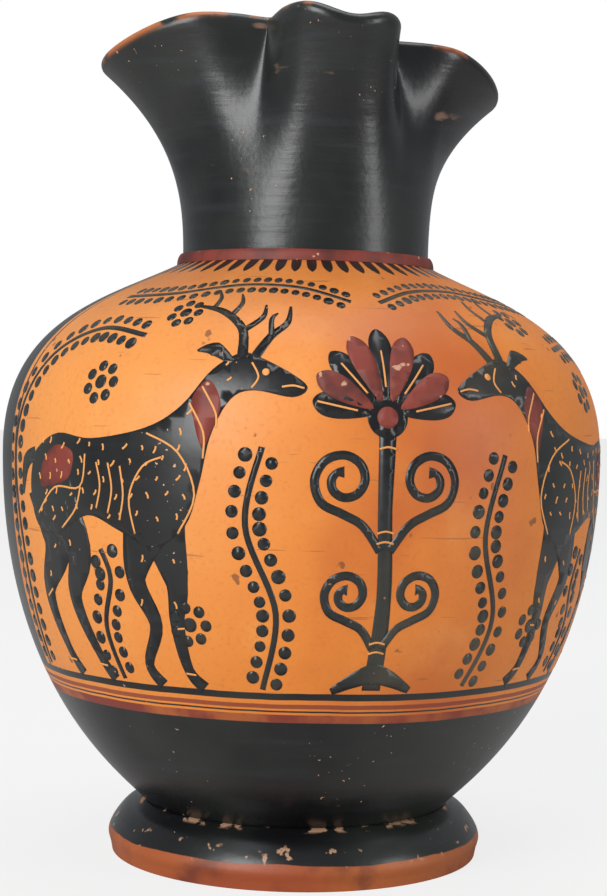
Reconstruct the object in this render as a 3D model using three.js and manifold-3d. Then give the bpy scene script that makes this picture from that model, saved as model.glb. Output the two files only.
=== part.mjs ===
// A small black-figure wine jug with a trefoil mouth, in millimetres, standing on z = 0 with +Z up.
// The pouring lip points along -Y and the handle is at the back, along +Y.
// The jug is thrown and turned in parts that are luted together when leather-hard: a disc foot,
// an ovoid body, a neck whose mouth is pinched to three lobes, a coil that hides the neck's joint,
// and a reeded strap handle. Each part is one solid here, and seats where the real one is luted.
import * as THREE from "three";
import { LoftGeometry } from "three/addons/geometries/LoftGeometry.js";
import { mergeVertices } from "three/addons/utils/BufferGeometryUtils.js";
import Module from "manifold-3d";

const wasm = await Module();
wasm.setup();

// Clearance of a luted joint between two curved faces
const LUTING_GAP = 0.3;

// Foot: a low disc, rounded at its edge and hollowed underneath
const FOOT_HEIGHT = 11.5;
const FOOT_RADIUS = 41.0;
const FOOT_BASE_RADIUS = 40.2;
const FOOT_WIDEST_HEIGHT = 4.0;
const FOOT_BEARING_WIDTH = 8.0;
const FOOT_HOLLOW_DEPTH = 4.6;
const FOOT_TOP_FALL = 1.9;

// Body: an ovoid with a broad shoulder, open at the top
const BASE_RADIUS = 33.5;
const BELLY_RADIUS = 65.4;
const BELLY_HEIGHT = 88.0;
const SHOULDER_HEIGHT = 128.2;
const BODY_WALL = 4.2;
const FLOOR_THICKNESS = 5.0;
const LOWER_WALL_SLOPE = 47;
const LOWER_WALL_FULLNESS = 52.0;
const SHOULDER_SLOPE = 27;
const SHOULDER_FULLNESS = 28.0;
const SHOULDER_FLATNESS = 16.0;

// Neck: a cylinder at the shoulder that flares into the mouth
const NECK_RADIUS = 27.0;
const NECK_WALL = 3.4;
const LIP_THICKNESS = 3.8;
const FLARE_POWER = 2.7;

// Mouth: reach from the axis, height above the table and direction from the pouring lip, of each
// station round the rim. The wall is pinched in on both sides of the lip and pulled out at the lobes.
const LIP_REACH = 36.0;
const LIP_HEIGHT = 175.8;
const LIP_CORNER_REACH = 33.7;
const LIP_CORNER_HEIGHT = 180.0;
const LIP_CORNER_ANGLE = 16;
const PINCH_RADIUS = 21.8;
const PINCH_HEIGHT = 178.4;
const PINCH_ANGLE = 38;
const LOBE_REACH = 45.3;
const LOBE_HEIGHT = 171.6;
const LOBE_ANGLE = 96;
const LOBE_SHOULDER_REACH = 34.6;
const LOBE_SHOULDER_HEIGHT = 177.8;
const LOBE_SHOULDER_ANGLE = 65;
const BACK_REACH = 34.5;
const BACK_HEIGHT = 174.5;
// How much higher the left lobe stands than the middle, and the right lobe lower
const MOUTH_LEAN = 2.2;

// Coil of clay pressed into the corner between neck and shoulder
const COIL_HEIGHT = 2.4;
const COIL_WIDTH = 1.0;

// Handle: a strap with three reeds, from the back of the rim to the shoulder
const HANDLE_WIDTH = 12.5;
const HANDLE_THICKNESS = 6.6;
const HANDLE_REACH = 58.5;
const HANDLE_TOP = 179.0;
const HANDLE_RIM_DROP = 5.0;
const HANDLE_FOOT_RADIUS = 50.0;
const HANDLE_END_SPREAD = 1.4;
const REED_COUNT = 3;
const REED_DEPTH = 0.7;

// Fineness of the facets
const ROUND_FACETS = 72;
const NECK_FACETS = 96;
const NECK_STEPS = 9;
const LIP_STEPS = 5;
const PROFILE_STEPS = 8;
const HANDLE_STEPS = 30;
const HANDLE_FACETS = 24;

const BLACK_GLOSS = { color: 0x15171a, roughness: 0.28, metalness: 0 };
const RESERVED_CLAY = { color: 0xd08038, roughness: 0.5, metalness: 0 };
const ADDED_RED = { color: 0x7e3325, roughness: 0.55, metalness: 0 };

const radians = THREE.MathUtils.degToRad;
const point = (radius, height) => new THREE.Vector2(radius, height);

function turned(profile) {
  return new THREE.LatheGeometry(profile, ROUND_FACETS).rotateX(Math.PI / 2);
}

function solidFrom(geometry) {
  const plain = new THREE.BufferGeometry().copy(geometry);
  plain.deleteAttribute("normal");
  plain.deleteAttribute("uv");
  const merged = mergeVertices(plain, 1e-4);
  const corners = merged.index.array;
  const kept = [];
  for (let i = 0; i < corners.length; i += 3) {
    const [a, b, c] = [corners[i], corners[i + 1], corners[i + 2]];
    if (a !== b && b !== c && c !== a) kept.push(a, b, c);
  }
  const vertProperties = new Float32Array(merged.attributes.position.array);
  return new wasm.Manifold(new wasm.Mesh({ numProp: 3, vertProperties, triVerts: new Uint32Array(kept) }));
}

function geometryFrom(solid) {
  const mesh = solid.getMesh();
  const geometry = new THREE.BufferGeometry();
  geometry.setAttribute("position", new THREE.BufferAttribute(mesh.vertProperties, 3));
  geometry.setIndex(new THREE.BufferAttribute(mesh.triVerts, 1));
  geometry.computeVertexNormals();
  return geometry;
}

function part(name, geometry, finish) {
  const mesh = new THREE.Mesh(geometry, new THREE.MeshStandardMaterial(finish));
  mesh.name = name;
  return mesh;
}

// The disc foot, with the flat top that the body is luted to and a bearing ring round a shallow hollow
function footGeometry() {
  const edge = new THREE.SplineCurve([
    point(FOOT_BASE_RADIUS, 0),
    point(FOOT_RADIUS - 0.5, FOOT_WIDEST_HEIGHT * 0.42),
    point(FOOT_RADIUS, FOOT_WIDEST_HEIGHT),
    point(FOOT_RADIUS - 1.1, FOOT_WIDEST_HEIGHT + 2.6),
    point(FOOT_RADIUS - 3.6, FOOT_HEIGHT - FOOT_TOP_FALL),
    point(BASE_RADIUS + 0.8, FOOT_HEIGHT - 0.4),
  ]);
  const bearingInside = FOOT_BASE_RADIUS - FOOT_BEARING_WIDTH;
  return turned([
    point(0, FOOT_HOLLOW_DEPTH),
    point(bearingInside * 0.8, FOOT_HOLLOW_DEPTH * 0.8),
    point(bearingInside, 0),
    ...edge.getPoints(PROFILE_STEPS),
    point(BASE_RADIUS, FOOT_HEIGHT),
    point(0, FOOT_HEIGHT),
  ]);
}

// The body's outside, from the foot to the ledge under the neck, and its points moved in by the wall
const ledgeRadius = NECK_RADIUS + LUTING_GAP + COIL_WIDTH;
const openingRadius = NECK_RADIUS - NECK_WALL;

function bodyOutside() {
  const slope = radians(LOWER_WALL_SLOPE);
  const lean = radians(SHOULDER_SLOPE);
  const start = 8.0;
  const lower = new THREE.CubicBezierCurve(
    point(BASE_RADIUS, FOOT_HEIGHT),
    point(BASE_RADIUS + start * Math.cos(slope), FOOT_HEIGHT + start * Math.sin(slope)),
    point(BELLY_RADIUS, BELLY_HEIGHT - LOWER_WALL_FULLNESS),
    point(BELLY_RADIUS, BELLY_HEIGHT),
  );
  const upper = new THREE.CubicBezierCurve(
    point(BELLY_RADIUS, BELLY_HEIGHT),
    point(BELLY_RADIUS, BELLY_HEIGHT + SHOULDER_FULLNESS),
    point(
      ledgeRadius + SHOULDER_FLATNESS * Math.cos(lean),
      SHOULDER_HEIGHT - SHOULDER_FLATNESS * Math.sin(lean),
    ),
    point(ledgeRadius, SHOULDER_HEIGHT),
  );
  return [lower, upper];
}

function offsetPoints(curve, distance) {
  return Array.from({ length: PROFILE_STEPS + 1 }, (_, i) => {
    const at = curve.getPoint(i / PROFILE_STEPS);
    const along = curve.getTangent(i / PROFILE_STEPS);
    return point(at.x + along.y * distance, at.y - along.x * distance);
  });
}

function bodyGeometry() {
  const [lower, upper] = bodyOutside();
  const floor = FOOT_HEIGHT + FLOOR_THICKNESS;
  const inside = [...offsetPoints(lower, -BODY_WALL), ...offsetPoints(upper, -BODY_WALL).slice(1)]
    .filter((p) => p.y > floor + 1 && p.x > openingRadius + 1)
    .reverse();
  return turned([
    point(0, FOOT_HEIGHT),
    point(BASE_RADIUS, FOOT_HEIGHT),
    ...offsetPoints(lower, 0).slice(1),
    ...offsetPoints(upper, 0).slice(1),
    point(openingRadius, SHOULDER_HEIGHT),
    point(openingRadius, SHOULDER_HEIGHT - BODY_WALL * 0.8),
    ...inside,
    point(inside[inside.length - 1].x - 2.5, floor),
    point(0, floor),
  ]);
}

// The rim's reach and height at an angle from the pouring lip, smooth through the stations
const stations = [
  [0, LIP_REACH, LIP_HEIGHT],
  [LIP_CORNER_ANGLE, LIP_CORNER_REACH, LIP_CORNER_HEIGHT],
  [PINCH_ANGLE, PINCH_RADIUS, PINCH_HEIGHT],
  [LOBE_SHOULDER_ANGLE, LOBE_SHOULDER_REACH, LOBE_SHOULDER_HEIGHT],
  [LOBE_ANGLE, LOBE_REACH, LOBE_HEIGHT],
  [(LOBE_ANGLE + 180) / 2, (LOBE_REACH + BACK_REACH) / 2 + 1, (LOBE_HEIGHT + BACK_HEIGHT) / 2],
  [180, BACK_REACH, BACK_HEIGHT],
];
const rim = new THREE.CubicInterpolant(
  stations.map(([angle]) => angle),
  stations.flatMap(([, reach, height]) => [reach, height]),
  2,
);
rim.settings = { endingStart: THREE.ZeroSlopeEnding, endingEnd: THREE.ZeroSlopeEnding };

// The middle of the neck's wall, at an angle from the lip towards -X and a share of the wall's height
function neckMiddle(angle, share) {
  const [reach, height] = rim.evaluate(Math.abs(THREE.MathUtils.euclideanModulo(angle + 180, 360) - 180));
  const turn = radians(angle);
  const foot = NECK_RADIUS - NECK_WALL / 2;
  const radius = foot + (reach - LIP_THICKNESS / 2 - foot) * share ** FLARE_POWER;
  const top = height - LIP_THICKNESS / 2 + MOUTH_LEAN * Math.sin(turn);
  const z = SHOULDER_HEIGHT + (top - SHOULDER_HEIGHT) * share;
  return new THREE.Vector3(-radius * Math.sin(turn), -radius * Math.cos(turn), z);
}

// The wall's middle, its direction upwards and its direction outwards at that point
function neckWallAt(angle, share) {
  const small = 1e-3;
  const middle = neckMiddle(angle, share);
  const up = neckMiddle(angle, share + small).sub(neckMiddle(angle, Math.max(0, share - small))).normalize();
  const round = neckMiddle(angle + small, share).sub(neckMiddle(angle - small, share)).normalize();
  const out = up.clone().cross(round).normalize();
  const level = share === 0 ? out.setZ(0).normalize() : out;
  const half = THREE.MathUtils.lerp(NECK_WALL, LIP_THICKNESS, share ** 4) / 2;
  return { middle, up, out: level, half };
}

function neckSection(angle) {
  const outside = [];
  const inside = [];
  for (let i = 0; i <= NECK_STEPS; i++) {
    const { middle, out, half } = neckWallAt(angle, i / NECK_STEPS);
    outside.push(middle.clone().addScaledVector(out, half));
    inside.unshift(middle.clone().addScaledVector(out, -half));
  }
  const { middle, up, out, half } = neckWallAt(angle, 1);
  const lip = [];
  for (let i = 1; i < LIP_STEPS; i++) {
    const turn = (Math.PI * i) / LIP_STEPS;
    const edge = middle.clone().addScaledVector(out, half * Math.cos(turn));
    lip.push(edge.addScaledVector(up, half * Math.sin(turn)));
  }
  return [...outside, ...lip, ...inside];
}

function neckGeometry() {
  const sections = [];
  for (let i = 0; i < NECK_FACETS; i++) sections.push(neckSection((360 * i) / NECK_FACETS));
  sections.push(sections[0].map((p) => p.clone()));
  return new LoftGeometry(sections);
}

// The neck's outside as a filled solid grown by the luting gap, which shapes the handle's upper end
function neckCutter() {
  const rows = [];
  for (let j = 0; j <= NECK_STEPS; j++) {
    const row = [];
    for (let i = 0; i < NECK_FACETS; i++) {
      const { middle, out, half } = neckWallAt((360 * i) / NECK_FACETS, j / NECK_STEPS);
      row.push(middle.clone().addScaledVector(out, half + LUTING_GAP));
    }
    rows.push(row.reverse());
  }
  const above = rows[NECK_STEPS].map((p) => p.clone().setZ(HANDLE_TOP + HANDLE_THICKNESS));
  return solidFrom(new LoftGeometry([...rows, above], { capStart: true, capEnd: true }));
}

function bodyCutter() {
  const [lower, upper] = bodyOutside();
  return solidFrom(
    turned([
      point(0, FOOT_HEIGHT),
      ...offsetPoints(lower, LUTING_GAP),
      ...offsetPoints(upper, LUTING_GAP).slice(1),
      point(0, SHOULDER_HEIGHT),
    ]),
  );
}

// The coil is wedge-shaped: full at the ledge that it is pressed on, and thin where it meets the neck
function coilGeometry() {
  const inside = NECK_RADIUS + LUTING_GAP;
  return turned([
    point(inside, SHOULDER_HEIGHT),
    point(ledgeRadius, SHOULDER_HEIGHT),
    point(inside + COIL_WIDTH * 0.94, SHOULDER_HEIGHT + COIL_HEIGHT * 0.35),
    point(inside + COIL_WIDTH * 0.72, SHOULDER_HEIGHT + COIL_HEIGHT * 0.72),
    point(inside + COIL_WIDTH * 0.32, SHOULDER_HEIGHT + COIL_HEIGHT),
    point(inside, SHOULDER_HEIGHT + COIL_HEIGHT),
    point(inside, SHOULDER_HEIGHT),
  ]);
}

// The handle's line runs in the plane x = 0, from inside the rim's wall to inside the shoulder's
function handlePath() {
  const outermost = HANDLE_REACH - HANDLE_THICKNESS / 2;
  const crown = HANDLE_TOP - HANDLE_THICKNESS / 2;
  const root = BACK_REACH - LIP_THICKNESS - HANDLE_THICKNESS / 2;
  const rise = crown - (BACK_HEIGHT - HANDLE_RIM_DROP);
  const drop = crown - SHOULDER_HEIGHT;
  const at = (reach, height) => new THREE.Vector3(0, reach, height);
  return new THREE.CatmullRomCurve3(
    [
      at(root, crown - rise * 1.6),
      at(THREE.MathUtils.lerp(root, outermost, 0.25), crown - rise * 0.7),
      at(THREE.MathUtils.lerp(root, outermost, 0.52), crown),
      at(THREE.MathUtils.lerp(root, outermost, 0.79), crown - drop * 0.05),
      at(outermost - 1.4, crown - drop * 0.2),
      at(outermost, crown - drop * 0.42),
      at(outermost - 0.6, crown - drop * 0.68),
      at((outermost + HANDLE_FOOT_RADIUS) / 2 - 0.4, SHOULDER_HEIGHT - 1),
      at(HANDLE_FOOT_RADIUS, SHOULDER_HEIGHT - 15),
    ],
    false,
    "centripetal",
  );
}

function handleSection(path, share) {
  const centre = path.getPointAt(share);
  const along = path.getTangentAt(share);
  const side = new THREE.Vector3(1, 0, 0);
  const out = side.clone().cross(along).normalize();
  const nearEnd = Math.abs(2 * share - 1);
  const spread = 1 + (HANDLE_END_SPREAD - 1) * nearEnd ** 6;
  const reed = REED_DEPTH * (1 - nearEnd ** 4);
  return Array.from({ length: HANDLE_FACETS }, (_, i) => {
    const turn = (-2 * Math.PI * i) / HANDLE_FACETS;
    const across = Math.sign(Math.cos(turn)) * Math.abs(Math.cos(turn)) ** 0.8;
    const groove = reed * (0.5 + 0.5 * Math.cos(REED_COUNT * Math.PI * (across + 1)));
    const depth = (HANDLE_THICKNESS / 2 - (Math.sin(turn) > 0 ? groove : 0)) * Math.sin(turn);
    return centre
      .clone()
      .addScaledVector(side, (HANDLE_WIDTH / 2) * across * spread)
      .addScaledVector(out, depth * spread);
  });
}

function handleGeometry() {
  const path = handlePath();
  const sections = [];
  for (let i = 0; i <= HANDLE_STEPS; i++) sections.push(handleSection(path, i / HANDLE_STEPS));
  const strap = solidFrom(new LoftGeometry(sections, { capStart: true, capEnd: true }));
  return geometryFrom(strap.subtract(neckCutter()).subtract(bodyCutter()));
}

const jug = new THREE.Group();
jug.add(
  part("foot", footGeometry(), BLACK_GLOSS),
  part("body", bodyGeometry(), RESERVED_CLAY),
  part("neck_and_mouth", neckGeometry(), BLACK_GLOSS),
  part("neck_coil", coilGeometry(), ADDED_RED),
  part("handle", handleGeometry(), BLACK_GLOSS),
);

export default jug;
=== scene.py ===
import math
import random

import bmesh
import bpy
from mathutils import Matrix, Vector
from mathutils.geometry import interpolate_bezier


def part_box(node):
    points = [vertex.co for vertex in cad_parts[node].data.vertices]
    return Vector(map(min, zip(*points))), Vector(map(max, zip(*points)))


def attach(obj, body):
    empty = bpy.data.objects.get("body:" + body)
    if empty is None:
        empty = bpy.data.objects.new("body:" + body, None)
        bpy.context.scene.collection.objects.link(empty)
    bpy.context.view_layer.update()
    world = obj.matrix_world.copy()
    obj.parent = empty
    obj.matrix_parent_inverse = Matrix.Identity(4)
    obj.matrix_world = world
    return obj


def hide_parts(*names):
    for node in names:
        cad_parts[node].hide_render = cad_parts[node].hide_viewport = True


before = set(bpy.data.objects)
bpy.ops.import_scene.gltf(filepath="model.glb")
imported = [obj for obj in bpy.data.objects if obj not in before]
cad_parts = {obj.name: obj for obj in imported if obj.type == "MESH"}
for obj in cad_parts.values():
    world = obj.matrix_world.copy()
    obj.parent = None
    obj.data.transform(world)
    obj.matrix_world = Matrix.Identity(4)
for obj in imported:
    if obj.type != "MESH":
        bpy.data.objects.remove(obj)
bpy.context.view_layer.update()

# Camera: stands in front of the jug, a little to the left of its pouring lip and above its middle.
# The lens is given as a focal length in pixels of the photograph's frame.
PHOTO_HEIGHT = 896
FOCAL_PIXELS = 1900
AXIS_LEFT_PIXELS = 2
SENSOR_WIDTH = 36
VIEW_AZIMUTH = math.radians(-14.5)
VIEW_PITCH = math.radians(-1.69)
VIEW_ROLL = math.radians(1.2)
VIEW_DISTANCE = 0.421
VIEW_HEIGHT = 0.101

lens = bpy.data.cameras.new("camera")
lens.sensor_width = SENSOR_WIDTH
lens.lens = FOCAL_PIXELS / PHOTO_HEIGHT * SENSOR_WIDTH
lens.shift_x = AXIS_LEFT_PIXELS / PHOTO_HEIGHT
camera = bpy.data.objects.new("camera", lens)
standpoint = Vector((math.sin(VIEW_AZIMUTH), -math.cos(VIEW_AZIMUTH), 0)) * VIEW_DISTANCE
standpoint.z = VIEW_HEIGHT
camera.matrix_world = (
    Matrix.Translation(standpoint)
    @ Matrix.Rotation(VIEW_AZIMUTH, 4, "Z")
    @ Matrix.Rotation(math.pi / 2 + VIEW_PITCH, 4, "X")
    @ Matrix.Rotation(VIEW_ROLL, 4, "Z")
)
bpy.context.collection.objects.link(camera)
bpy.context.scene.camera = camera

# Foot: a low disc, turned on its own wheel-head and luted under the body. It is rounded at its edge
# and hollowed underneath, black on top, with its side left in reddened clay.
MM = 0.001
BASE_RADIUS = 33.5
FOOT_BASE_RADIUS = 40.2
FOOT_WIDEST_HEIGHT = 4.0
FOOT_BEARING_WIDTH = 8.0
FOOT_HOLLOW_DEPTH = 4.6
FOOT_TOP_FALL = 1.9
FOOT_TOP_INSET = 3.6
FOOT_SIDE_HEIGHT = 2.6
FOOT_SIDE_DRAFT = 1.1
FOOT_LOWER_ROUND = 0.5
FOOT_RESERVED_HEIGHT = 5.3
TURNED_STEPS = 256
foot_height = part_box("foot")[1][2] / MM
foot_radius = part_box("foot")[1][0] / MM


def operator(operation, flipped=False):
    def apply(self, *others):
        terms = (*others, self) if flipped else (self, *others)
        node = self.finish.node("ShaderNodeMath", {"operation": operation}, dict(enumerate(terms)))
        return Signal(self.finish, node.outputs[0])

    return apply


class Signal:
    """A number that changes over a surface, with arithmetic that adds Math nodes."""

    __add__ = __radd__ = operator("ADD")
    __mul__ = __rmul__ = operator("MULTIPLY")
    __sub__ = operator("SUBTRACT")
    __rsub__ = operator("SUBTRACT", flipped=True)
    __truediv__ = operator("DIVIDE")
    __pow__ = operator("POWER")
    __abs__ = operator("ABSOLUTE")
    most = operator("MAXIMUM")
    least = operator("MINIMUM")
    sine = operator("SINE")
    root = operator("SQRT")
    fraction = operator("FRACT")
    direction = operator("ARCTAN2")

    def __init__(self, finish, socket):
        self.finish = finish
        self.socket = socket

    def rise(self, low, high):
        settings = {"interpolation_type": "SMOOTHSTEP"}
        values = {"Value": self, "From Min": low, "From Max": high}
        node = self.finish.node("ShaderNodeMapRange", settings, values)
        return Signal(self.finish, node.outputs["Result"])

    def band(self, low, high, soft=0.07):
        return self.rise(low - soft, low + soft) * (1 - self.rise(high - soft, high + soft))


class Finish:
    """A material that is built from nodes on the piece's own coordinates."""

    def __init__(self, name):
        self.material = bpy.data.materials.new(name)
        self.material.use_nodes = True
        self.tree = self.material.node_tree
        self.shader = self.tree.nodes["Principled BSDF"]
        self.place = self.node("ShaderNodeTexCoord").outputs["Object"]
        parts = self.node("ShaderNodeSeparateXYZ", None, {0: self.place}).outputs
        self.x, self.y, self.z = (Signal(self, part) / MM for part in parts)

    def node(self, kind, settings=None, values=None):
        node = self.tree.nodes.new(kind)
        for key, value in (settings or {}).items():
            setattr(node, key, value)
        for key, value in (values or {}).items():
            self.put(node.inputs[key], value)
        return node

    def put(self, socket, value):
        if isinstance(value, Signal):
            value = value.socket
        if isinstance(value, bpy.types.NodeSocket):
            self.tree.links.new(value, socket)
        else:
            socket.default_value = value

    def noise(self, scale, detail=3.0, stretch=(1, 1, 1), shift=0.0):
        mapping = {"Vector": self.place, "Scale": stretch, "Location": (shift, 0, 0)}
        placed = self.node("ShaderNodeMapping", None, mapping)
        values = {"Vector": placed.outputs[0], "Scale": scale, "Detail": detail}
        return Signal(self, self.node("ShaderNodeTexNoise", None, values).outputs[0])

    def blend(self, factor, first, second):
        values = {0: factor, 6: first, 7: second}
        return self.node("ShaderNodeMix", {"data_type": "RGBA"}, values).outputs[2]

    def close(self, tone, roughness, height, depth):
        """Feed the shader with a tone, a roughness and a relief, whose depth is in metres."""
        self.put(self.shader.inputs["Base Color"], tone)
        self.put(self.shader.inputs["Roughness"], roughness)
        bump = self.node("ShaderNodeBump", None, {"Height": height, "Distance": depth, "Strength": 1.0})
        self.put(self.shader.inputs["Normal"], bump.outputs[0])
        return self.material


def colour(red, green, blue):
    """A linear colour from the sRGB one that the eye sees, 0 to 255."""
    shares = (value / 255 for value in (red, green, blue))
    return (*(s / 12.92 if s <= 0.04045 else ((s + 0.055) / 1.055) ** 2.4 for s in shares), 1.0)


SLIP_BLACK = colour(15, 15, 17)
# Green and blue tones of painted sheen for the black slip.
SLIP_SHEEN_GREEN = colour(38, 42, 38)
SLIP_SHEEN_BLUE = colour(48, 54, 60)
SLIP_OLIVE = colour(84, 76, 58)
CLAY_BRIGHT = colour(226, 132, 46)
CLAY_PALE = colour(234, 168, 96)
CLAY_DEEP = colour(190, 94, 32)
CLAY_PIT = colour(112, 62, 34)
CLAY_WORN = colour(206, 160, 128)
RED_SLIP = colour(128, 50, 36)
RED_DARK = colour(84, 34, 28)


def black_slip(finish, misfire=0.0):
    """Fired black slip with painted sheen: greenish clouds and blue streaks of painted sheen, faint wheel
    streaks in the relief, tiny chips down to the clay.
    """
    cloud = finish.noise(26, 4)
    streak = finish.noise(40, 3, (1, 1, 9), 0.4)
    # Painted sheen: greenish clouds and blue streaks lighten the black as if it reflected light.
    tone = finish.blend(cloud.rise(0.38, 0.68), SLIP_BLACK, SLIP_SHEEN_GREEN)
    tone = finish.blend(streak.rise(0.5, 0.78) * 0.3, tone, SLIP_SHEEN_BLUE)
    if misfire:
        tone = finish.blend(finish.noise(17, 4, shift=0.9).rise(0.5, 0.68) * misfire, tone, SLIP_OLIVE)
    chipped_areas = finish.noise(45, 2, shift=0.7).rise(0.54, 0.62)
    chips = finish.noise(900, 2, shift=0.2).rise(0.71, 0.73) * chipped_areas
    tone = finish.blend(chips, tone, CLAY_WORN)
    roughness = 0.19 + 0.18 * cloud + 0.04 * streak + 0.3 * chips
    height = streak * 0.25 + finish.noise(700, 2) * 0.25 - chips * 0.8
    return tone, roughness, height


def bare_clay(finish):
    """Burnished orange clay: pale and deep clouds, painted light that makes it paler towards the left and
    top, fine grain, dark pits and a few scratches.
    """
    cloud = finish.noise(15, 4, shift=0.3)
    tone = finish.blend(cloud.rise(0.4, 0.66), CLAY_BRIGHT, CLAY_DEEP)
    # Painted light: the clay is blended paler towards the left and the top, as if lit from the upper left.
    left = (-1 * finish.x / 130 + finish.z / 260).rise(0.25, 0.85)
    tone = finish.blend(left * 0.4 + finish.noise(60, 4).rise(0.55, 0.8) * 0.25, tone, CLAY_PALE)
    grain = finish.noise(1100, 3)
    tone = finish.blend(grain.rise(0.5, 0.8) * 0.3, tone, CLAY_DEEP)
    pits = finish.noise(240, 2, shift=0.7).rise(0.72, 0.76)
    scratches = finish.noise(70, 1, (1, 1, 24), 0.1).rise(0.74, 0.76)
    tone = finish.blend(pits * 0.75, tone, CLAY_PIT)
    tone = finish.blend(scratches * 0.4, tone, CLAY_PIT)
    return tone, 0.4 + 0.16 * grain, grain * 0.4 - pits


def smooth_through(points, steps=8, closed=False):
    """A smooth line through the points, round again to the first one if closed."""
    count = len(points)
    line = []
    for i in range(count if closed else count - 1):
        near = [i + k - 1 for k in range(4)]
        before, start, end, after = (
            Vector(points[k % count] if closed else points[min(max(k, 0), count - 1)]) for k in near
        )
        handles = start + (end - before) / 6, end - (after - start) / 6
        line += interpolate_bezier(start, *handles, end, steps + 1)[:-1]
    if not closed:
        line.append(Vector(points[-1]))
    return line


def turned(profile):
    """A closed solid of revolution from points of radius and height, in millimetres."""
    shape = bmesh.new()
    corners = [shape.verts.new((r * MM, 0, z * MM)) for r, z in profile]
    edges = [shape.edges.new(pair) for pair in zip(corners, corners[1:])]
    bmesh.ops.spin(
        shape,
        geom=corners + edges,
        cent=(0, 0, 0),
        axis=(0, 0, 1),
        dvec=(0, 0, 0),
        angle=math.tau,
        steps=TURNED_STEPS,
        use_merge=True,
        use_duplicate=False,
    )
    bmesh.ops.remove_doubles(shape, verts=shape.verts, dist=1e-7)
    bmesh.ops.dissolve_degenerate(shape, edges=shape.edges, dist=1e-7)
    bmesh.ops.recalc_face_normals(shape, faces=shape.faces)
    return shape


def make_piece(name, shape, material, node=None):
    mesh = bpy.data.meshes.new(name)
    for face in shape.faces:
        face.smooth = True
    shape.to_mesh(mesh)
    shape.free()
    mesh.materials.append(material)
    piece = bpy.data.objects.new(name, mesh)
    bpy.context.collection.objects.link(piece)
    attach(piece, "root")
    if node:
        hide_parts(node)
    return piece


def flat(line):
    return [(p[0], p[1]) for p in line]


foot_edge = [
    (FOOT_BASE_RADIUS, 0, 0),
    (foot_radius - FOOT_LOWER_ROUND, FOOT_WIDEST_HEIGHT * 0.42, 0),
    (foot_radius, FOOT_WIDEST_HEIGHT, 0),
    (foot_radius - FOOT_SIDE_DRAFT, FOOT_WIDEST_HEIGHT + FOOT_SIDE_HEIGHT, 0),
    (foot_radius - FOOT_TOP_INSET, foot_height - FOOT_TOP_FALL, 0),
    (BASE_RADIUS + 0.8, foot_height - 0.4, 0),
]
bearing_inside = FOOT_BASE_RADIUS - FOOT_BEARING_WIDTH
foot_profile = [
    (0, FOOT_HOLLOW_DEPTH),
    (bearing_inside * 0.8, FOOT_HOLLOW_DEPTH * 0.8),
    (bearing_inside, 0),
    *flat(smooth_through(foot_edge, 10)),
    (BASE_RADIUS, foot_height),
    (0, foot_height),
]

foot_finish = Finish("foot slip and reddened edge")
slip, slip_roughness, slip_height = black_slip(foot_finish)
clay, clay_roughness, _ = bare_clay(foot_finish)
clay = foot_finish.blend(0.62, clay, RED_SLIP)
clay = foot_finish.blend(foot_finish.noise(90, 5).rise(0.5, 0.75) * 0.7, clay, RED_DARK)
foot_level = foot_finish.z + (foot_finish.noise(50, 3) - 0.5) * 1.6
painted = foot_level.rise(FOOT_RESERVED_HEIGHT - 0.12, FOOT_RESERVED_HEIGHT + 0.12)
foot_reach = (foot_finish.x * foot_finish.x + foot_finish.y * foot_finish.y).root()
joint = foot_reach.band(BASE_RADIUS - 0.3, BASE_RADIUS + 1.4, 0.5)
joint_wear = joint * foot_finish.noise(300, 5).rise(0.53, 0.6)
edge = foot_level.band(FOOT_RESERVED_HEIGHT - 0.3, FOOT_RESERVED_HEIGHT + 3.1, 0.6)
edge_wear = edge * foot_finish.noise(340, 5, shift=0.6).rise(0.62, 0.66)
tone = foot_finish.blend(painted, clay, slip)
tone = foot_finish.blend(joint_wear.most(edge_wear) * 0.7, tone, CLAY_WORN)
foot_roughness = slip_roughness * painted + clay_roughness * (1 - painted) + joint_wear * 0.3
foot_material = foot_finish.close(tone, foot_roughness, slip_height - joint_wear, 0.00012)
make_piece("turned_foot", turned(foot_profile), foot_material, "foot")

# Body: an ovoid thrown on the wheel, about 4 mm thick, of fine orange clay. The front is left bare for
# the picture, with tongues round the shoulder and bands below. The rest is covered in black slip.
NECK_RADIUS = 27.0
NECK_WALL = 3.4
LUTING_GAP = 0.3
COIL_WIDTH = 1.0
BELLY_RADIUS = 65.4
BELLY_HEIGHT = 88.0
BODY_WALL = 4.2
FLOOR_THICKNESS = 5.0
LOWER_WALL_SLOPE = math.radians(47)
LOWER_WALL_START = 8.0
LOWER_WALL_FULLNESS = 52.0
SHOULDER_SLOPE = math.radians(27)
SHOULDER_FULLNESS = 28.0
SHOULDER_FLATNESS = 16.0
PROFILE_STEPS = 60
TONGUE_COUNT = 60
TONGUE_LENGTH = 6.0
TONGUE_HALF_WIDTH = 1.2
TONGUE_LOWEST = 115
BLACK_TOP = 36.35
RED_BAND = (36.4, 38.1)
THIN_LINE = (38.6, 38.95)
RED_LINE = (39.4, 40.3)
GROUND_TOP = 42.6
GROUND_LINE = (41.2, GROUND_TOP)
PANEL_FOOT = 42
FIELD_EDGE = math.radians(82)
SIDE_LINE = (FIELD_EDGE - 0.05, FIELD_EDGE - 0.035)
shoulder_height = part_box("body")[1][2] / MM
ledge_radius = NECK_RADIUS + LUTING_GAP + COIL_WIDTH
opening_radius = NECK_RADIUS - NECK_WALL

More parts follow.
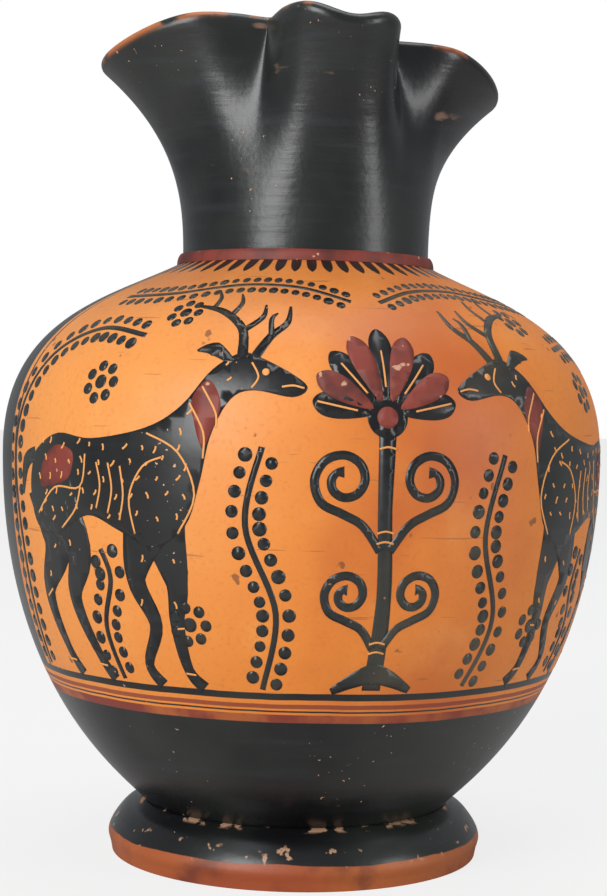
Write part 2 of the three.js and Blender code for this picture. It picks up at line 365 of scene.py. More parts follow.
lower_wall = interpolate_bezier(
    Vector((BASE_RADIUS, foot_height, 0)),
    Vector(
        (
            BASE_RADIUS + LOWER_WALL_START * math.cos(LOWER_WALL_SLOPE),
            foot_height + LOWER_WALL_START * math.sin(LOWER_WALL_SLOPE),
            0,
        )
    ),
    Vector((BELLY_RADIUS, BELLY_HEIGHT - LOWER_WALL_FULLNESS, 0)),
    Vector((BELLY_RADIUS, BELLY_HEIGHT, 0)),
    PROFILE_STEPS,
)
shoulder_wall = interpolate_bezier(
    Vector((BELLY_RADIUS, BELLY_HEIGHT, 0)),
    Vector((BELLY_RADIUS, BELLY_HEIGHT + SHOULDER_FULLNESS, 0)),
    Vector(
        (
            ledge_radius + SHOULDER_FLATNESS * math.cos(SHOULDER_SLOPE),
            shoulder_height - SHOULDER_FLATNESS * math.sin(SHOULDER_SLOPE),
            0,
        )
    ),
    Vector((ledge_radius, shoulder_height, 0)),
    PROFILE_STEPS,
)
outside_wall = lower_wall + shoulder_wall[1:]


def outward(line, i):
    along = line[min(i + 1, len(line) - 1)] - line[max(i - 1, 0)]
    return Vector((along.y, -along.x, 0)).normalized()


body_floor = foot_height + FLOOR_THICKNESS
inside_wall = [p - outward(outside_wall, i) * BODY_WALL for i, p in enumerate(outside_wall)]
inside_wall = [p for p in inside_wall if p.y > body_floor + 1 and p.x > opening_radius + 1]
body_profile = [
    (0, foot_height),
    *flat(outside_wall),
    (opening_radius, shoulder_height),
    (opening_radius, shoulder_height - BODY_WALL * 0.8),
    *flat(reversed(inside_wall)),
    (inside_wall[0].x - 2.5, body_floor),
    (0, body_floor),
]

body_finish = Finish("painted body")
slip, slip_roughness, slip_height = black_slip(body_finish)
clay, clay_roughness, clay_height = bare_clay(body_finish)
turn = body_finish.x.direction(-1 * body_finish.y)
reach = (body_finish.x * body_finish.x + body_finish.y * body_finish.y).root()
brush = body_finish.noise(38, 3, shift=0.5) - 0.5
# The bands are brushed by hand, so their level wavers a little on its way round.
level = body_finish.z + brush * 0.9 + 0.3 * (turn - 0.9).sine()
red_band = level.band(*RED_BAND)
red_line = level.band(*RED_LINE)
thin_line = level.band(*THIN_LINE)
ground_line = level.band(*GROUND_LINE)
lower_black = 1 - level.rise(BLACK_TOP, BLACK_TOP + 0.15)
run = ((reach - ledge_radius) / TONGUE_LENGTH).most(0)
off_middle = abs((turn * (TONGUE_COUNT / math.tau) + 0.5).fraction() - 0.5)
across = off_middle * reach * (math.tau / TONGUE_COUNT)
tongue_edge = (1 - run.least(1) ** 4) * TONGUE_HALF_WIDTH * (0.85 + 0.3 * brush)
tongues = (tongue_edge - across).rise(-0.08, 0.08) * (1 - run.rise(0.98, 1.0))
tongues = tongues * body_finish.z.rise(TONGUE_LOWEST, TONGUE_LOWEST + 1)
above_bands = level.rise(PANEL_FOOT, PANEL_FOOT + 0.2)
panel_edge = (abs(turn) + brush * 0.03).rise(FIELD_EDGE - 0.004, FIELD_EDGE + 0.004)
side_panel = panel_edge * above_bands
side_line = (abs(turn) + brush * 0.02).band(*SIDE_LINE, 0.003) * above_bands
black = lower_black.most(ground_line).most(thin_line).most(tongues).most(side_panel).most(side_line)
thin_paint = body_finish.noise(120, 4, shift=0.8).rise(0.35, 0.6) * 0.35 + 0.65
red = (red_band * thin_paint).most(red_line * 0.85)
tone = body_finish.blend(red, clay, RED_SLIP)
tone = body_finish.blend(black, tone, slip)
wall_roughness = slip_roughness * black + clay_roughness * (1 - black)
wall_height = slip_height * black + clay_height * (1 - black)
body_material = body_finish.close(tone, wall_roughness, wall_height, 0.00006)
make_piece("thrown_body", turned(body_profile), body_material, "body")

# Neck and mouth: thrown as a flaring tube, then pinched in on both sides of the lip while soft, so
# that the rim has three lobes. Black slip inside and out, worn to the clay along the rim's edge.
LIP_THICKNESS = 3.8
FLARE_POWER = 2.7
MOUTH_LEAN = 2.2
NECK_TURNS = 256
WALL_ROWS = 44
LIP_ROWS = 10
RIM_START = 0.98
# Stations of the rim: degrees round from the pouring lip, reach from the axis, and height.
RIM_STATIONS = [
    (0, 36.0, 178.0),
    (16, 33.7, 180.0),
    (38, 21.8, 178.4),
    (65, 34.6, 177.8),
    (96, 45.3, 171.6),
    (138, 40.9, 173.05),
    (180, 34.5, 174.5),
]


def between(low, high, share):
    return low + (high - low) * share


def rim_slope(k, column):
    """How fast the reach or the height changes with the angle at one station."""
    if k <= 0 or k >= len(RIM_STATIONS) - 1:
        return 0
    before, here, after = RIM_STATIONS[k - 1], RIM_STATIONS[k], RIM_STATIONS[k + 1]
    rising = (here[column] - before[column]) / (here[0] - before[0])
    falling = (after[column] - here[column]) / (after[0] - here[0])
    return (rising + falling) / 2


def rim(angle):
    """Reach and height of the rim at an angle from the pouring lip, in degrees."""
    angle = abs((angle + 180) % 360 - 180)
    i = max(k for k in range(len(RIM_STATIONS) - 1) if RIM_STATIONS[k][0] <= angle)
    start, end = RIM_STATIONS[i], RIM_STATIONS[i + 1]
    span = end[0] - start[0]
    share = (angle - start[0]) / span
    result = []
    for column in (1, 2):
        first, second = start[column], end[column]
        leave, arrive = rim_slope(i, column) * span / 3, rim_slope(i + 1, column) * span / 3
        rest = 1 - share
        result.append(
            rest**3 * first
            + 3 * rest**2 * share * (first + leave)
            + 3 * rest * share**2 * (second - arrive)
            + share**3 * second
        )
    return result


def neck_middle(angle, share):
    rim_reach, rim_height = rim(angle)
    bend = math.radians(angle)
    start = NECK_RADIUS - NECK_WALL / 2
    radius = start + (rim_reach - LIP_THICKNESS / 2 - start) * share**FLARE_POWER
    top = rim_height - LIP_THICKNESS / 2 + MOUTH_LEAN * math.sin(bend)
    height = shoulder_height + (top - shoulder_height) * share
    return Vector((-radius * math.sin(bend), -radius * math.cos(bend), height))


def neck_wall(angle, share):
    """The middle of the wall, its upward and outward directions, and half its thickness."""
    small = 1e-3
    middle = neck_middle(angle, share)
    up = (neck_middle(angle, share + small) - neck_middle(angle, max(0, share - small))).normalized()
    around = (neck_middle(angle + small, share) - neck_middle(angle - small, share)).normalized()
    out = up.cross(around).normalized()
    if share == 0:
        out = Vector((out.x, out.y, 0)).normalized()
    half = (NECK_WALL + (LIP_THICKNESS - NECK_WALL) * share**4) / 2
    return middle, up, out, half


def neck_point(angle, row):
    """A point of the closed wall section, and how far round it lies: 1 is the rim, 2 the inside's foot."""
    if row <= WALL_ROWS:
        share = row / WALL_ROWS
        middle, _, out, half = neck_wall(angle, share)
        return middle + out * half, share * RIM_START
    if row < WALL_ROWS + LIP_ROWS:
        middle, up, out, half = neck_wall(angle, 1)
        bend = math.pi * (row - WALL_ROWS) / LIP_ROWS
        way = between(RIM_START, 2 - RIM_START, bend / math.pi)
        return middle + out * half * math.cos(bend) + up * half * math.sin(bend), way
    share = max(0, 1 - (row - WALL_ROWS - LIP_ROWS) / WALL_ROWS)
    middle, _, out, half = neck_wall(angle, share)
    return middle - out * half, 2 - share * RIM_START


section_rows = 2 * WALL_ROWS + LIP_ROWS + 1
neck = bmesh.new()
bmesh.ops.create_grid(neck, x_segments=NECK_TURNS, y_segments=section_rows, size=0.5)
wall_layer = neck.verts.layers.float.new("wall")
for corner in neck.verts:
    row = round((corner.co.y + 0.5) * section_rows) % section_rows
    place, way = neck_point(360 * (corner.co.x + 0.5), row)
    corner.co = place * MM
    corner[wall_layer] = way
bmesh.ops.remove_doubles(neck, verts=neck.verts, dist=1e-6)
bmesh.ops.recalc_face_normals(neck, faces=neck.faces)

neck_finish = Finish("neck slip and worn rim")
slip, slip_roughness, slip_height = black_slip(neck_finish)
clay, clay_roughness, _ = bare_clay(neck_finish)
wall_reader = neck_finish.node("ShaderNodeAttribute", {"attribute_name": "wall"})
wall = Signal(neck_finish, wall_reader.outputs["Fac"])
rim_noise = neck_finish.noise(95, 5, shift=0.3)
left_lobe = (-1 * neck_finish.x).rise(22, 36) * 0.07
rim_wear = (1 - abs(wall - 1.0).rise(0.005, 0.018)) * (rim_noise + left_lobe).rise(0.5, 0.6)
rubbed = neck_finish.noise(55, 5, (1, 1, 3), 0.15).rise(0.66, 0.74) * 0.35
rubbed = rubbed * neck_finish.z.rise(140, 165)
deep_inside = wall.rise(1.5, 1.56)
clay = neck_finish.blend(0.55, clay, RED_SLIP)
tone = neck_finish.blend(rubbed, slip, CLAY_WORN)
tone = neck_finish.blend(rim_wear, tone, clay)
tone = neck_finish.blend(deep_inside, tone, clay)
worn = rim_wear.most(deep_inside)
neck_roughness = slip_roughness * (1 - worn) + clay_roughness * worn + rubbed * 0.2
wheel_marks = neck_finish.noise(26, 4, (1, 1, 12), 0.8)
neck_material = neck_finish.close(tone, neck_roughness, slip_height + wheel_marks * 0.9, 0.00016)
make_piece("pinched_mouth", neck, neck_material, "neck_and_mouth")

# Coil: a thin roll of clay pressed into the corner between neck and shoulder, painted dark red and
# rubbed pale in places.
COIL_HEIGHT = 2.4
coil_inside = NECK_RADIUS + LUTING_GAP
coil_edge = [
    (coil_inside + COIL_WIDTH, shoulder_height, 0),
    (coil_inside + COIL_WIDTH * 0.94, shoulder_height + COIL_HEIGHT * 0.35, 0),
    (coil_inside + COIL_WIDTH * 0.72, shoulder_height + COIL_HEIGHT * 0.72, 0),
    (coil_inside + COIL_WIDTH * 0.32, shoulder_height + COIL_HEIGHT, 0),
]
coil_start = (coil_inside, shoulder_height)
coil_top = (coil_inside, shoulder_height + COIL_HEIGHT)
coil_profile = [coil_start, *flat(smooth_through(coil_edge, 4)), coil_top, coil_start]


def red_slip(finish):
    cloud = finish.noise(120, 4, shift=0.25)
    tone = finish.blend(cloud.rise(0.4, 0.7), RED_SLIP, RED_DARK)
    chips = finish.noise(420, 3, shift=0.4).rise(0.66, 0.7)
    tone = finish.blend(chips * 0.8, tone, CLAY_WORN)
    return tone, 0.5 + 0.15 * cloud, cloud - chips


red_finish = Finish("red slip")
red_material = red_finish.close(*red_slip(red_finish), 0.00005)
make_piece("red_coil", turned(coil_profile), red_material, "neck_coil")

# Handle: a strap pulled by hand, with three reeds along its outside. It springs from the back of the
# rim, stands a little above it and comes down on the shoulder. Black slip all over.
HANDLE_WIDTH = 12.5
HANDLE_THICKNESS = 6.6
HANDLE_REACH = 58.5
HANDLE_TOP = 179.0
HANDLE_RIM_DROP = 5.0
HANDLE_FOOT_RADIUS = 50.0
HANDLE_END_SPREAD = 1.4
REED_COUNT = 3
REED_DEPTH = 0.7
HANDLE_ROWS = 160
HANDLE_TURNS = 64
HANDLE_SECTION_POWER = 0.8
ROOT_SHARE = 0.86
EMBED = 1.2
back_reach, back_height = rim(180)
outermost = HANDLE_REACH - HANDLE_THICKNESS / 2
crown = HANDLE_TOP - HANDLE_THICKNESS / 2
root = back_reach - LIP_THICKNESS - HANDLE_THICKNESS / 2
crown_rise = crown - (back_height - HANDLE_RIM_DROP)
drop = crown - shoulder_height

handle_line = smooth_through(
    [
        (0, root, crown - crown_rise * 1.6),
        (0, between(root, outermost, 0.25), crown - crown_rise * 0.7),
        (0, between(root, outermost, 0.52), crown),
        (0, between(root, outermost, 0.79), crown - drop * 0.05),
        (0, outermost - 1.4, crown - drop * 0.2),
        (0, outermost, crown - drop * 0.42),
        (0, outermost - 0.6, crown - drop * 0.68),
        (0, (outermost + HANDLE_FOOT_RADIUS) / 2 - 0.4, shoulder_height - 1),
        (0, HANDLE_FOOT_RADIUS, shoulder_height - 15),
    ],
    24,
)


def distances(line):
    total = [0.0]
    for start, end in zip(line, line[1:]):
        total.append(total[-1] + (end - start).length)
    return total


def at_distance(line, total, distance):
    """The point and direction of a line at a distance along it."""
    i = max(0, min(len(line) - 2, sum(1 for t in total if t <= distance) - 1))
    span = total[i + 1] - total[i]
    share = min(max((distance - total[i]) / span, 0), 1)
    return line[i].lerp(line[i + 1], share), (line[i + 1] - line[i]).normalized()


handle = bmesh.new()
bmesh.ops.create_grid(handle, x_segments=HANDLE_TURNS, y_segments=HANDLE_ROWS, size=0.5)
handle_total = distances(handle_line)
row_places = [handle_total[-1] * j / HANDLE_ROWS for j in range(HANDLE_ROWS + 1)]
centres = [at_distance(handle_line, handle_total, place)[0] for place in row_places]
for corner in handle.verts:
    row = round((corner.co.y + 0.5) * HANDLE_ROWS)
    bend = math.tau * (corner.co.x + 0.5)
    centre = centres[row]
    along = (centres[min(row + 1, HANDLE_ROWS)] - centres[max(row - 1, 0)]).normalized()
    out = Vector((1, 0, 0)).cross(along)
    near_end = abs(2 * row / HANDLE_ROWS - 1)
    spread = 1 + (HANDLE_END_SPREAD - 1) * near_end**6
    side = math.copysign(abs(math.cos(bend)) ** HANDLE_SECTION_POWER, math.cos(bend))
    groove = REED_DEPTH * (1 - near_end**4) * (0.5 + 0.5 * math.cos(REED_COUNT * math.pi * (side + 1)))
    depth = (HANDLE_THICKNESS / 2 - (groove if math.sin(bend) > 0 else 0)) * math.sin(bend)
    place = centre + Vector((HANDLE_WIDTH / 2 * side * spread, 0, 0)) + out * depth * spread
    corner.co = place * MM
bmesh.ops.remove_doubles(handle, verts=handle.verts, dist=1e-6)

wall_middle, _, wall_out, wall_half = neck_wall(180, ROOT_SHARE)
landing = next(i for i, p in enumerate(shoulder_wall) if p.x < HANDLE_FOOT_RADIUS + 1)
landing_place = Vector((0, *shoulder_wall[landing].xy))
landing_out = Vector((0, *outward(shoulder_wall, landing).xy))
cuts = [
    (wall_middle + wall_out * (wall_half - EMBED), wall_out),
    (landing_place - landing_out * EMBED, landing_out),
]
for place, normal in cuts:
    bmesh.ops.bisect_plane(
        handle,
        geom=handle.verts[:] + handle.edges[:] + handle.faces[:],
        plane_co=place * MM,
        plane_no=normal,
        clear_inner=True,
    )
bmesh.ops.holes_fill(handle, edges=[edge for edge in handle.edges if edge.is_boundary])
bmesh.ops.recalc_face_normals(handle, faces=handle.faces)

handle_finish = Finish("handle slip")
tone, roughness, height = black_slip(handle_finish)
ridge_wear = handle_finish.z.rise(168, 178) * handle_finish.noise(110, 5, shift=0.35).rise(0.6, 0.66)
tone = handle_finish.blend(ridge_wear * 0.8, tone, CLAY_WORN)
handle_material = handle_finish.close(tone, roughness + ridge_wear * 0.2, height - ridge_wear, 0.0001)
make_piece("strap_handle", handle, handle_material, "handle")

# Painted picture: two dappled stags face each other across a palmette tree, under dotted vines. Black
# slip is brushed on the clay, red is laid over it, and lines are scratched through to the clay. The
# drawing is flat, in millimetres right of the lip and up from the ground line, and is wrapped round.
SLIP_LIFT = 0.06
RED_LIFT = SLIP_LIFT + 0.03
INCISED_LIFT = SLIP_LIFT + 0.06
LAYER_STEP = 0.003
LAYER_COUNT = 8
SLIP_DEPTH = 0.25
CUT_STEP = 3.0
WELD = 0.04
STAG_SHIFT = 88.0
STAG_WEIGHT = 1.18
VINE_STEP = 3.5
STEM_WIDTH = 1.2
DOT_RADIUS = 1.3
DOT_GAP = 1.35
INCISED_WIDTH = 0.38
random.seed(7)

wall_total = distances(outside_wall)
ground_distance = next(t for t, p in zip(wall_total, outside_wall) if p.y >= GROUND_TOP - 0.6)


def wrapped(x, y, lift):
    """The place on the body for a place on the flat drawing."""
    place, along = at_distance(outside_wall, wall_total, ground_distance + y)
    out = Vector((along.y, -along.x, 0))
    radius = place.x + out.x * lift
    bend = x / BELLY_RADIUS
    return Vector((radius * math.sin(bend), -radius * math.cos(bend), place.y + out.y * lift))


def stroke(points, widths, steps=6):
    """The outline of a brush stroke along points, as wide as given at each of them."""
    line = smooth_through([(x, y, 0) for x, y in points], steps)
    left, right = [], []
    for i, place in enumerate(line):
        along = (line[min(i + 1, len(line) - 1)] - line[max(i - 1, 0)]).normalized()
        side = Vector((-along.y, along.x, 0))
        t = i / steps
        k = min(int(t), len(widths) - 2)
        half = between(widths[k], widths[k + 1], t - k) / 2
        left.append(place + side * half)
        right.append(place - side * half)
    return left + right[::-1]


def blob(points, steps=5):
    return smooth_through([(x, y, 0) for x, y in points], steps, closed=True)


def disc(x, y, radius, sides=14):
    bends = [math.tau * k / sides for k in range(sides)]
    return [Vector((x + radius * math.cos(b), y + radius * math.sin(b), 0)) for b in bends]


def paint(name, outlines, material, lift=SLIP_LIFT):
    """Thin closed pieces of slip from flat outlines, each a hair above the one before it."""
    picture = bmesh.new()
    for layer, outline in enumerate(outlines):
        shape = bmesh.new()
        kept = [p for p, q in zip(outline, outline[1:] + outline[:1]) if (p - q).length > 0.01]
        shape.faces.new([shape.verts.new(p) for p in kept])
        bmesh.ops.triangulate(shape, faces=shape.faces)
        for axis, normal in enumerate((Vector((1, 0, 0)), Vector((0, 1, 0)))):
            low = min(p[axis] for p in kept)
            high = max(p[axis] for p in kept)
            for k in range(math.floor(low / CUT_STEP) + 1, math.ceil(high / CUT_STEP)):
                bmesh.ops.bisect_plane(
                    shape,
                    geom=shape.verts[:] + shape.edges[:] + shape.faces[:],
                    plane_co=normal * k * CUT_STEP,
                    plane_no=normal,
                )
        bmesh.ops.remove_doubles(shape, verts=shape.verts, dist=WELD)
        bmesh.ops.dissolve_degenerate(shape, edges=shape.edges, dist=WELD / 2)
        bmesh.ops.triangulate(shape, faces=shape.faces)
        height = lift + LAYER_STEP * (layer % LAYER_COUNT)
        for corner in shape.verts:
            corner.co = wrapped(corner.co.x, corner.co.y, height) * MM
        for face in shape.faces:
            face.normal_update()
            centre = face.calc_center_median()
            if face.normal.dot(Vector((centre.x, centre.y, 0))) < 0:
                face.normal_flip()
        mesh = bpy.data.meshes.new("outline")
        shape.to_mesh(mesh)
        shape.free()
        picture.from_mesh(mesh)
        bpy.data.meshes.remove(mesh)
    piece = make_piece(name, picture, material)
    coat = piece.modifiers.new("slip", "SOLIDIFY")
    coat.thickness = SLIP_DEPTH * MM
    coat.offset = -1


STAG_BODY = [
    (10, 47.5), (7.5, 44.5), (6.5, 38.5), (9, 31.5), (17, 30.5), (26, 34.5), (34, 32), (42, 29),
    (49, 33.5), (52, 42), (54, 51), (57.5, 58), (62, 59.8), (69.5, 58.6), (72.4, 60.5), (69.5, 63.2),
    (63, 66.6), (58.5, 67.8), (53, 64), (47.5, 56.5), (40, 52), (27, 49.6), (17, 50.4),
]
STAG_STROKES = [
    ([(44, 33), (46.8, 22), (46.2, 14), (47.6, 4.5), (50.8, 0.6)], [9, 4.0, 2.7, 2.0, 2.6]),
    ([(40, 32), (37.5, 22.5), (41.2, 13.5), (38, 5), (40.6, 0.6)], [9, 3.8, 2.6, 1.9, 2.6]),
    ([(12, 40), (15.5, 28), (10.2, 18), (12.6, 6.5), (15.6, 0.6)], [12, 8.0, 3.4, 2.1, 2.7]),
    ([(14, 40), (22.5, 27.5), (19.8, 17.5), (23.8, 6), (27, 0.6)], [12, 6.5, 3.2, 2.1, 2.7]),
    ([(8.5, 46), (4.2, 44), (2.4, 37.5)], [2.4, 2.8, 0.6]),
    ([(57, 65.5), (52.5, 68.6), (48.6, 68.2)], [1.0, 2.8, 0.3]),
    ([(58.8, 66.5), (57.4, 74), (51, 79.5), (43, 81.5)], [2.0, 1.7, 1.5, 0.6]),
    ([(57.2, 73), (61.5, 77.5), (61.6, 82)], [1.3, 1.2, 0.4]),
    ([(53.5, 77.8), (55, 82.5), (53.6, 86.5)], [1.3, 1.1, 0.4]),
    ([(48, 80.4), (48.2, 84.5), (46, 88)], [1.2, 1.0, 0.4]),
    ([(61, 66), (64.2, 72), (67.6, 76), (68, 81.5)], [1.9, 1.6, 1.3, 0.5]),
    ([(64.4, 72), (63.8, 77), (65, 79)], [1.2, 1.0, 0.4]),
]
STAG_INCISED = [
    [(47.5, 32), (51, 39.5), (47.5, 47.5), (40.5, 51)],
    [(38, 31.5), (36.8, 38.5), (39.8, 44.5), (44, 46.5)],
    [(9.5, 34), (16, 39.5), (24, 40), (25.5, 46.5)],
    [(18, 31.5), (22.5, 35.5), (24.2, 40)],
    [(28.5, 36), (29.6, 40.5), (28.6, 45)],
    [(31.5, 35.2), (32.6, 40), (31.6, 45)],
    [(34.4, 34), (35.4, 39), (34.6, 44.5)],
    [(49.2, 57), (52.5, 51.5), (52.6, 46.5)],
    [(51.4, 60.4), (54.6, 55.5), (55, 52.4)],
    [(61.4, 60.3), (62.6, 62.6), (61, 65.6)],
    [(71.8, 60.4), (69.6, 60.9), (67.4, 60.6)],
    [(46.2, 13), (47.8, 13.2)],
    [(46.9, 3.6), (49.2, 3.4)],
    [(12.2, 3.6), (14.4, 3.4)],
    [(23.2, 3.6), (25.6, 3.4)],
    [(11.6, 18.5), (9.2, 16.8)],
]
STAG_NECK_PATCH = [(49.6, 58), (52.6, 61.8), (55.6, 57), (54, 51.5), (52.4, 48.5), (50.6, 53)]
STAG_THIGH_PATCH = [(12, 44.8), (10.4, 40), (14, 39.6), (20.5, 41.6), (21.8, 46.6), (16.5, 48)]
STAG_EYE = (64, 63.6)


def dapple():
    """Short ticks over the flank, neck and thigh, each turned a little differently."""
    ticks = []
    spots = []
    for row, y in enumerate((35.4, 38.8, 42.2, 45.6, 48.4)):
        spots += [(x + 2 * (row % 2), y) for x in range(11, 48, 4)]
    spots += [(50, 55), (47.4, 51.5), (57, 61.5), (56, 64.5), (16, 34), (13, 36)]
    spots += [(46.6, 26.5), (38.6, 26.5), (15, 27), (20.5, 29), (46.6, 18), (38.6, 18), (12, 21)]
    for x, y in spots:
        x += random.uniform(-0.8, 0.8)
        y += random.uniform(-0.9, 0.9)
        lean = random.uniform(-0.5, 0.9)
        reach = random.uniform(0.4, 0.75)
        dx, dy = reach * math.sin(lean), reach * math.cos(lean)
        ticks.append([(x - dx, y - dy), (x + 0.15, y), (x + dx, y + dy)])
    return ticks


def mirrored(outlines, flip):
    if not flip:
        return [[Vector((p.x - STAG_SHIFT, p.y, 0)) for p in outline] for outline in outlines]
    return [[Vector((STAG_SHIFT - p.x, p.y, 0)) for p in outline][::-1] for outline in outlines]


def vine(points):
    """A thin stem with pairs of dots along it."""
    stem = smooth_through([(x, y, 0) for x, y in points], 10)
    total = distances(stem)
    outlines = [stroke(points, [STEM_WIDTH] * len(points), 10)]
    distance = 2.0
    while distance < total[-1] - 1:
        place, along = at_distance(stem, total, distance)
        side = Vector((-along.y, along.x, 0)) * (DOT_RADIUS + DOT_GAP)
        for way in (-1, 1):
            radius = DOT_RADIUS * random.uniform(0.88, 1.1)
            outlines.append(disc(place.x + side.x * way, place.y + side.y * way, radius))
        distance += VINE_STEP
    return outlines


paint_finish = Finish("brushed black slip")
tone, roughness, height = black_slip(paint_finish, misfire=0.8)
paint_material = paint_finish.close(tone, roughness, height, 0.00006)
incised_finish = Finish("incised clay line")
tone, roughness, height = bare_clay(incised_finish)
tone = incised_finish.blend(0.6, tone, CLAY_PALE)
incised_material = incised_finish.close(tone, roughness + 0.2, height, 0.00004)

for side, flip in (("left", False), ("right", True)):
    figure = [stroke(points, [w * STAG_WEIGHT for w in widths]) for points, widths in STAG_STROKES]
    figure.append(blob(STAG_BODY))
    paint(f"{side}_stag", mirrored(figure, flip), paint_material)
    patches = [blob(STAG_NECK_PATCH), blob(STAG_THIGH_PATCH)]
    paint(f"{side}_stag_red", mirrored(patches, flip), red_material, RED_LIFT)
    lines = [stroke(points, [INCISED_WIDTH] * len(points), 5) for points in STAG_INCISED + dapple()]
    lines.append(disc(*STAG_EYE, 0.75))
    lines = mirrored(lines, flip)
    paint(f"{side}_stag_incised", lines, incised_material, INCISED_LIFT)

VINES = {
    "left_vines": [
        [(-89, 1), (-88, 24), (-90, 48), (-84, 66), (-70, 74), (-54, 72)],
        [(-58, 1), (-60, 12), (-57, 22), (-59, 28)],
        [(-24, 1), (-21, 17), (-27, 34), (-24, 49)],
        [(-4, 84), (-18, 90), (-36, 91), (-56, 87), (-76, 86)],
    ],
    "right_vines": [
        [(89, 1), (87, 22), (90, 46), (85, 64), (72, 72), (56, 71)],
        [(57, 1), (59, 11), (56, 20), (58, 28)],
        [(23, 1), (27, 15), (22, 32), (26, 48)],
        [(4, 84), (17, 89.5), (34, 91), (54, 88), (74, 86)],
    ],
}
ROSETTES = {
    "left_vines": [(-61, 61), (-39, 14), (-47, 79)],
    "right_vines": [(61, 61), (40, 13), (46, 79)],
}
PETAL_COUNT = 7
PETAL_RADIUS = 1.2
PETAL_REACH = 3.5
ROSETTE_HEART = 1.5


def rosette(x, y):
    """A dot with a ring of dots round it."""
    dots = [disc(x, y, ROSETTE_HEART)]
    for k in range(PETAL_COUNT):
        turn = math.tau * k / PETAL_COUNT
        petal = (x + PETAL_REACH * math.cos(turn), y + PETAL_REACH * math.sin(turn))
        dots.append(disc(*petal, PETAL_RADIUS))
    return dots


for name, stems in VINES.items():
    outlines = [outline for stem in stems for outline in vine(stem)]
    outlines += [petal for centre in ROSETTES[name] for petal in rosette(*centre)]
    paint(name, outlines, paint_material)

# Palmette tree: a ringed trunk on a low mound, two pairs of volutes, and a fan of leaves that are
# black and red in turn. It stands under the pouring lip.
LEAF_COUNT = 9
LEAF_SPAN = math.radians(156)
LEAF_ROOT = (0, 55)
LEAF_GAP = 3.2
LEAF_LENGTH = 16.5
LEAF_SHORTENING = 3.5
LEAF_WIDTH = 4.6
TENDRIL_WIDTH = 1.7


def leaf_lean(k):
    return LEAF_SPAN * (k / (LEAF_COUNT - 1) - 0.5)


def leaf_place(lean, along, off=0):
    """A place on a leaning leaf: so far along it from its root, and so far off its middle."""
    x = LEAF_ROOT[0] + along * math.sin(lean) + off * math.cos(lean)
    return x, LEAF_ROOT[1] + along * math.cos(lean) - off * math.sin(lean)


def leaf(lean, length, width):
    spine = [(0, 0), (length * 0.45, width * 0.48), (length * 0.82, width * 0.5), (length, 0)]
    spine += [(length * 0.82, -width * 0.5), (length * 0.45, -width * 0.48)]
    return blob([leaf_place(lean, along + LEAF_GAP, off) for along, off in spine])


def volute(side, x, y, radius, turns):
    """A tendril from the trunk that rolls up into a spiral."""
    points = [(side * 1.0, y - radius * 2.1), (side * radius * 0.7, y - radius * 1.35)]
    for k in range(int(turns * 8) + 1):
        angle = -math.pi / 2 + k * math.pi / 4
        shrink = radius * (1 - 0.8 * k / (turns * 8))
        points.append((side * (x + shrink * math.cos(angle)), y + shrink * math.sin(angle)))
    return stroke(points, [TENDRIL_WIDTH] * (len(points) - 2) + [1.4, 2.2], 5)


leans = [leaf_lean(k) for k in range(LEAF_COUNT)]
leaves = [leaf(lean, LEAF_LENGTH - LEAF_SHORTENING * abs(lean), LEAF_WIDTH) for lean in leans]
black_leaves, red_leaves = leaves[0::2], leaves[1::2]
tree = [
    stroke([(0, 1), (0.5, 20), (-0.3, 38), (0, 55)], [4.2, 3.0, 2.8, 3.6]),
    stroke([(-9, 0.8), (-4, 3.4), (0, 4.6), (4, 3.4), (9, 0.8)], [1.4, 3.4, 4.6, 3.4, 1.4]),
    disc(*LEAF_ROOT, 4.0, 24),
    *[volute(side, 8.4, 43, 6.4, 1.6) for side in (-1, 1)],
    *[volute(side, 7.0, 21, 5.2, 1.5) for side in (-1, 1)],
    *black_leaves,
]
paint("palmette_tree", tree, paint_material)
red_parts = [*red_leaves, disc(*LEAF_ROOT, 2.1, 20)]
paint("palmette_red", red_parts, red_material, RED_LIFT)
scratches = [[leaf_place(lean, along) for along in (6, 10, 14)] for lean in leans[0::2]]
scratches += [[(-1.7, y), (0, y + 0.4), (1.7, y)] for y in (9, 11, 31, 33, 49)]
incised_parts = [stroke(points, [INCISED_WIDTH] * 3, 4) for points in scratches]
paint("palmette_incised", incised_parts, incised_material, INCISED_LIFT)

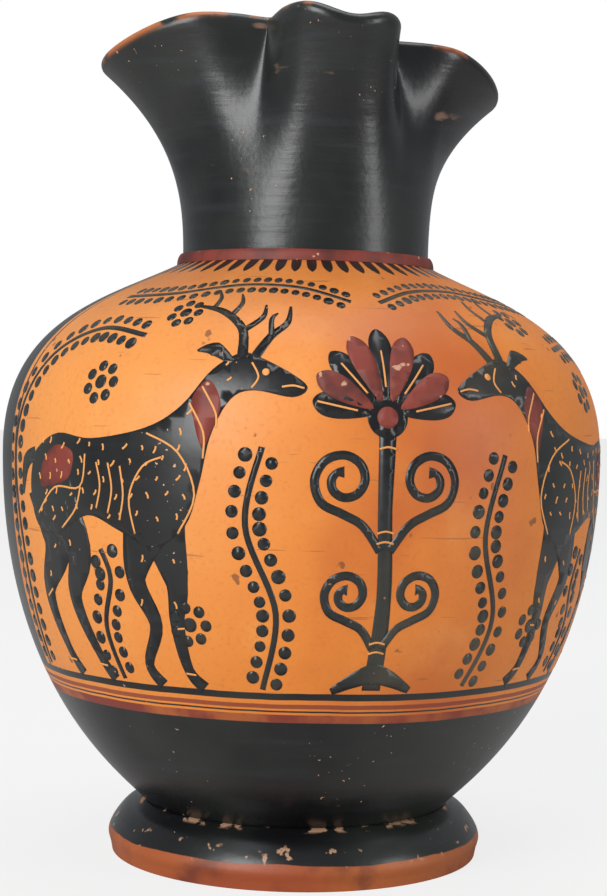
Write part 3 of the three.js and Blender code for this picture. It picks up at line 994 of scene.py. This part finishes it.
# Studio: a pale floor and even surroundings, with a broad soft lamp at the left, a weaker one at the
# right and one above.
floor_shape = bmesh.new()
bmesh.ops.create_grid(floor_shape, x_segments=1, y_segments=1, size=4)
floor_mesh = bpy.data.meshes.new("floor")
floor_shape.to_mesh(floor_mesh)
floor_shape.free()
floor = bpy.data.objects.new("floor", floor_mesh)
bpy.context.collection.objects.link(floor)
floor_finish = Finish("pale floor")
floor_finish.put(floor_finish.shader.inputs["Base Color"], (0.62, 0.61, 0.6, 1))
floor_finish.put(floor_finish.shader.inputs["Roughness"], 0.9)
seen = floor_finish.node("ShaderNodeLightPath").outputs["Is Camera Ray"]
white = floor_finish.node("ShaderNodeEmission", None, {"Color": (1, 1, 1, 1), "Strength": 1.0})
shown = floor_finish.node(
    "ShaderNodeMixShader",
    None,
    {0: Signal(floor_finish, seen) * 0.8, 1: floor_finish.shader.outputs[0], 2: white.outputs[0]},
)
floor_finish.put(floor_finish.tree.nodes["Material Output"].inputs["Surface"], shown.outputs[0])
floor_mesh.materials.append(floor_finish.material)

world = bpy.data.worlds.new("surroundings")
world.use_nodes = True
bpy.context.scene.world = world
backdrop = world.node_tree.nodes["Background"]
backdrop.inputs["Color"].default_value = (0.33, 0.34, 0.36, 1)
bright = world.node_tree.nodes.new("ShaderNodeBackground")
bright.inputs["Color"].default_value = (1, 1, 1, 1)
choice = world.node_tree.nodes.new("ShaderNodeMixShader")
ray = world.node_tree.nodes.new("ShaderNodeLightPath")
links = world.node_tree.links
links.new(ray.outputs["Is Camera Ray"], choice.inputs[0])
links.new(backdrop.outputs[0], choice.inputs[1])
links.new(bright.outputs[0], choice.inputs[2])
links.new(choice.outputs[0], world.node_tree.nodes["World Output"].inputs["Surface"])


def lamp(name, place, width, height, power):
    light = bpy.data.lights.new(name, "AREA")
    light.shape = "RECTANGLE"
    light.size = width
    light.size_y = height
    light.energy = power
    holder = bpy.data.objects.new(name, light)
    aim = Vector((0, 0, 0.1)) - Vector(place)
    holder.matrix_world = Matrix.Translation(place) @ aim.to_track_quat("-Z", "Y").to_matrix().to_4x4()
    bpy.context.collection.objects.link(holder)


lamp("left_lamp", (-0.85, -0.75, 0.55), 0.5, 0.9, 12.5)
lamp("right_lamp", (0.9, -0.7, 0.35), 0.25, 0.7, 3.5)
lamp("top_lamp", (0.1, 0.1, 1.1), 0.6, 0.6, 3.5)
bpy.context.scene.view_settings.view_transform = "Standard"
